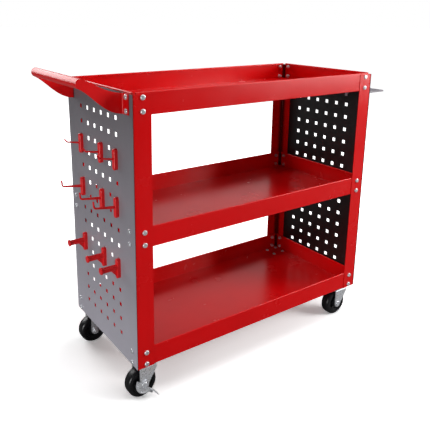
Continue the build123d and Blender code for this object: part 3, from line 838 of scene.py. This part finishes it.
def makePeg(nodeName, setup):
    low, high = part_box(nodeName)
    middle, front = makeHookPad(nodeName, padSetup)
    axis = Vector((0, middle.y, middle.z + setup["lift"]))
    bpy.ops.mesh.primitive_circle_add(vertices=48, radius=setup["radius"], fill_type="NGON",
                                      location=(front + 0.003, axis.y, axis.z), rotation=(0, -math.pi / 2, 0))
    pull((low.x + setup["capDepth"] / 2 - front - 0.003, 0, 0))

    def inFlute(place, part):
        offset = place - axis
        turn = math.atan2(offset.z, offset.y) * setup["flutes"] / (2 * math.pi) % 1
        near = abs(math.hypot(offset.y, offset.z) - setup["radius"]) < tiny
        return near and place.x < front + 0.0031 and abs(turn - 0.5) < 0.26

    selectParts("VERT", inFlute)
    resize(1, setup["fluteDepth"], setup["fluteDepth"], axis)
    bpy.ops.mesh.primitive_circle_add(vertices=48, radius=setup["capRadius"], fill_type="NGON",
                                      location=(low.x + setup["capDepth"], axis.y, axis.z),
                                      rotation=(0, -math.pi / 2, 0))
    pull((-setup["capDepth"], 0, 0))
    selectParts("EDGE", lambda place, part: all(abs(vert.co.x - low.x) < tiny for vert in part.verts))
    bpy.ops.mesh.bevel(offset=0.0016, segments=4)
    # the web under the root
    bpy.ops.mesh.primitive_cube_add(size=setup["web"], location=(front - 0.007, middle.y, middle.z - 0.010))
    web = selectionMiddle()
    resize(0.016 / setup["web"], 0.8, 0.016 / setup["web"], web)
    selectParts("VERT", lambda place, part: abs(place.y - middle.y) < setup["web"] * 0.45
                and place.x < web.x - 0.004 and place.z < web.z - 0.004 and place.x > low.x + 0.012)
    bpy.ops.transform.translate(value=(0.013, 0, 0.002))
    closeNormals()
    return finishPiece(nodeName + "_moulding", bodyOf(nodeName), [nodeName], hookPlastic, 40)


for nodeName in [name for name in nodes if name.startswith("short_hook_")]:
    makeRodHook(nodeName, shortHookSetup)
for nodeName in [name for name in nodes if name.startswith("long_hook_")]:
    makeRodHook(nodeName, longHookSetup)
for nodeName in [name for name in nodes if name.startswith("thick_peg_")]:
    makePeg(nodeName, pegSetup)
print("hooks are moulded")

# ---- wheels ----
tyreSetup = {
    "sides": 96,
    "shoulder": 0.0070,
    "beadInset": 0.0095,
    "beadStep": 0.0009,
    "bore": 0.0260,
    "grooveAt": 0.0052,
    "grooveHalf": 0.0004,
    "grooveFloor": 0.982,
}
hubSetup = {
    "sides": 64,
    "rim": 0.0040,
    "rimHalf": 0.0108,
    "webHalf": 0.0040,
    "bossRadius": 0.0110,
    "boreRadius": 0.0042,
    "ribs": 6,
    "ribWidth": 0.0026,
    "edge": 0.0006,
}


def radiusFrom(middle, place):
    return math.hypot(place.x - middle.x, place.z - middle.z)


def openBore(middle, radius):
    # Joins the two round openings of the given radius with a wall
    bpy.ops.mesh.delete(type="FACE")
    selectParts("EDGE", lambda place, part: len(part.link_faces) == 1
                and all(abs(radiusFrom(middle, vert.co) - radius) < tiny for vert in part.verts))
    bpy.ops.mesh.bridge_edge_loops()


def makeTyre(nodeName, setup):
    low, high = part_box(nodeName)
    middle = (low + high) / 2
    radius = (high.z - low.z) / 2
    half = (high.y - low.y) / 2
    addRound(middle, radius, 2 * half, setup["sides"], (math.pi / 2, 0, 0))
    for side in (-1, 1):
        selectParts("FACE", lambda place, part: abs(place.y - middle.y - side * half) < tiny)
        bpy.ops.mesh.inset(thickness=setup["beadInset"])
        pull((0, -side * setup["beadStep"], 0))
        bpy.ops.mesh.inset(thickness=radius - setup["beadInset"] - setup["bore"])
    selectParts("FACE", lambda place, part: len(part.verts) == setup["sides"])
    openBore(middle, setup["bore"])
    selectParts("EDGE", lambda place, part: abs(abs(place.y - middle.y) - half) < tiny
                and all(abs(radiusFrom(middle, vert.co) - radius) < tiny for vert in part.verts))
    bpy.ops.mesh.bevel(offset=setup["shoulder"], segments=9)
    for side in (-1, 1):
        for offset in (-2, -1, 1, 2):
            cutAcross(1, middle.y + side * setup["grooveAt"] + offset * setup["grooveHalf"])
    selectParts("VERT", lambda place, part: radiusFrom(middle, place) > 0.95 * radius
                and abs(abs(place.y - middle.y) - setup["grooveAt"]) < 1.5 * setup["grooveHalf"])
    resize(setup["grooveFloor"], 1, setup["grooveFloor"], middle)
    closeNormals()
    return finishPiece(nodeName + "_ring", bodyOf(nodeName), [nodeName], tyreRubber)


def makeHub(nodeName, setup):
    low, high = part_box(nodeName)
    middle = (low + high) / 2
    radius = (high.z - low.z) / 2 - 0.0002
    bossHalf = (high.y - low.y) / 2
    addRound(middle, radius, 2 * setup["rimHalf"], setup["sides"], (math.pi / 2, 0, 0))
    for side in (-1, 1):
        selectParts("FACE", lambda place, part: abs(place.y - middle.y - side * setup["rimHalf"]) < tiny)
        bpy.ops.mesh.inset(thickness=setup["rim"])
        pull((0, -side * (setup["rimHalf"] - setup["webHalf"]), 0))
        bpy.ops.mesh.inset(thickness=radius - setup["rim"] - setup["bossRadius"])
        pull((0, side * (bossHalf - setup["webHalf"]), 0))
        bpy.ops.mesh.inset(thickness=setup["bossRadius"] - setup["boreRadius"])
    selectParts("FACE", lambda place, part: len(part.verts) == setup["sides"])
    openBore(middle, setup["boreRadius"])
    closeNormals()
    bpy.ops.object.mode_set(mode="OBJECT")
    roundEdges(setup["edge"], 2, 50)
    bpy.ops.object.mode_set(mode="EDIT")
    ribReach = (radius - setup["rim"] + setup["bossRadius"]) / 2
    ribLength = radius - setup["rim"] - setup["bossRadius"] + 0.002
    for rib in range(setup["ribs"]):
        angle = 2 * math.pi * rib / setup["ribs"]
        spoke = Vector((math.cos(angle), 0, math.sin(angle)))
        bpy.ops.mesh.primitive_cube_add(size=1, location=middle + spoke * ribReach, rotation=(0, -angle, 0),
                                        scale=(ribLength, 2 * setup["rimHalf"] - 0.004, setup["ribWidth"]))
    bpy.ops.mesh.select_all(action="SELECT")
    bpy.ops.mesh.normals_make_consistent(inside=False)
    return finishPiece(nodeName + "_core", bodyOf(nodeName), [nodeName], hubPlastic)


for nodeName in [name for name in nodes if name.startswith("tyre_")]:
    makeTyre(nodeName, tyreSetup)
for nodeName in [name for name in nodes if name.startswith("wheel_hub_")]:
    makeHub(nodeName, hubSetup)
print("wheels are turned")

# ---- pressed detail on the brake levers ----
pressSetup = {
    "ridgeRadius": 0.0195,
    "ridgeHalf": 0.0013,
    "ridgeFrom": 165,        # degrees about the axle, from +X towards +Z
    "ridgeTurn": 130,
    "washerRadius": 0.0105,
    "washerSheet": 0.0009,
    "teeth": 14,
}


def makeLeverRidge(corner, setup):
    leverLow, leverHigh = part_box("brake_lever_" + corner)
    forkLow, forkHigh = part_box("fork_" + corner)
    wheelLow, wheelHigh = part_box("wheel_hub_" + corner)
    axle = (wheelLow + wheelHigh) / 2
    face = 1 if axle.y > 0 else -1
    axle.y = forkHigh.y + 0.0022 if face > 0 else forkLow.y - 0.0022
    start = math.radians(setup["ridgeFrom"])
    spoke = Vector((math.cos(start), 0, math.sin(start)))
    outward = spoke.cross(Vector((0, 1, 0)))
    bpy.ops.object.select_all(action="DESELECT")
    bpy.ops.mesh.primitive_circle_add(vertices=12, radius=setup["ridgeHalf"], fill_type="NGON",
                                      location=axle + spoke * setup["ridgeRadius"],
                                      rotation=outward.to_track_quat("Z", "Y").to_euler())
    openPiece()
    bpy.ops.mesh.select_all(action="SELECT")
    bpy.ops.mesh.spin(steps=28, angle=math.radians(setup["ridgeTurn"]), center=axle, axis=(0, 1, 0))
    closeNormals()
    resize(1, 0.6, 1, axle)
    ridge = finishPiece("lever_ridge_" + corner, bodyOf("brake_lever_" + corner), [], zincPlate)
    addRound(axle, setup["washerRadius"], setup["washerSheet"], 2 * setup["teeth"], (math.pi / 2, 0, 0))

    def inTooth(place, part):
        turn = math.atan2(place.z - axle.z, place.x - axle.x) * setup["teeth"] / (2 * math.pi) % 1
        return 0.2 < turn < 0.8

    selectParts("VERT", inTooth)
    resize(0.86, 1, 0.86, axle)
    closeNormals()
    roundEdges(0.0002, 1, 50)
    return finishPiece("lever_washer_" + corner, bodyOf("brake_lever_" + corner), [], boltZinc)


for corner in ("front_left", "rear_left"):
    makeLeverRidge(corner, pressSetup)
print("brake levers are pressed")
